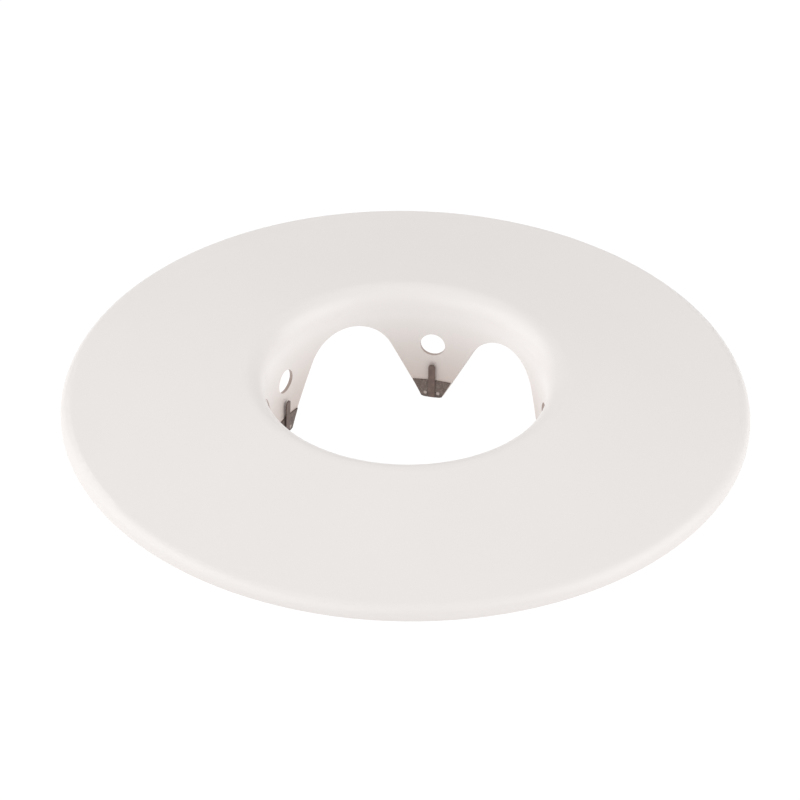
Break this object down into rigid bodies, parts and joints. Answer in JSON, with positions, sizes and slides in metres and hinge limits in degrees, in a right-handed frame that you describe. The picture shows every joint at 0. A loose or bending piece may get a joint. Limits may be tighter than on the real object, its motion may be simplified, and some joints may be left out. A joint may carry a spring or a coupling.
{
  "type": "sprinkler escutcheon ring",
  "caption": "Shallow conical ceiling trim ring with a rolled rim, a lipped round throat and an arched skirt whose tabs carry steel grip tongues.",
  "frame": {"origin": "centre of the rolled rim's seating plane, on the ring's axis", "axes": "+Z along the ring's axis, out of the ceiling through the visible face; an arch of the skirt is centred on -Y"},
  "size_m": [0.127, 0.127, 0.024],
  "materials": {
    "white_powder_coat": "semi-gloss white powder coat on pressed steel",
    "bare_shoe_steel": "bare dark steel strip, mottled",
    "tongue_spring_steel": "dark oil-tempered spring steel"
  },
  "bodies": {
    "ring": {"escutcheon_ring": "white_powder_coat", "tip_shoe_1": "bare_shoe_steel", "tip_shoe_2": "bare_shoe_steel", "tip_shoe_3": "bare_shoe_steel", "tip_shoe_4": "bare_shoe_steel", "tip_shoe_5": "bare_shoe_steel"},
    "tongue_1": {"grip_tongue_1": "tongue_spring_steel"},
    "tongue_2": {"grip_tongue_2": "tongue_spring_steel"},
    "tongue_3": {"grip_tongue_3": "tongue_spring_steel"},
    "tongue_4": {"grip_tongue_4": "tongue_spring_steel"},
    "tongue_5": {"grip_tongue_5": "tongue_spring_steel"}
  },
  "joints": [
    {"name": "tongue_1_flex", "type": "hinge", "parent": "ring", "child": "tongue_1", "pos_m": [0.01514, -0.02083, -0.0166], "axis": [0.809, 0.5878, 0], "range_deg": [0, 2], "stiffness_Nm_per_rad": 0.12},
    {"name": "tongue_2_flex", "type": "hinge", "parent": "ring", "child": "tongue_2", "pos_m": [0.02449, 0.00796, -0.0166], "axis": [-0.309, 0.9511, 0], "range_deg": [0, 2], "stiffness_Nm_per_rad": 0.12},
    {"name": "tongue_3_flex", "type": "hinge", "parent": "ring", "child": "tongue_3", "pos_m": [0, 0.02575, -0.0166], "axis": [-1, 0, 0], "range_deg": [0, 2], "stiffness_Nm_per_rad": 0.12},
    {"name": "tongue_4_flex", "type": "hinge", "parent": "ring", "child": "tongue_4", "pos_m": [-0.02449, 0.00796, -0.0166], "axis": [-0.309, -0.9511, 0], "range_deg": [0, 2], "stiffness_Nm_per_rad": 0.12},
    {"name": "tongue_5_flex", "type": "hinge", "parent": "ring", "child": "tongue_5", "pos_m": [-0.01514, -0.02083, -0.0166], "axis": [0.809, -0.5878, 0], "range_deg": [0, 2], "stiffness_Nm_per_rad": 0.12}
  ]
}
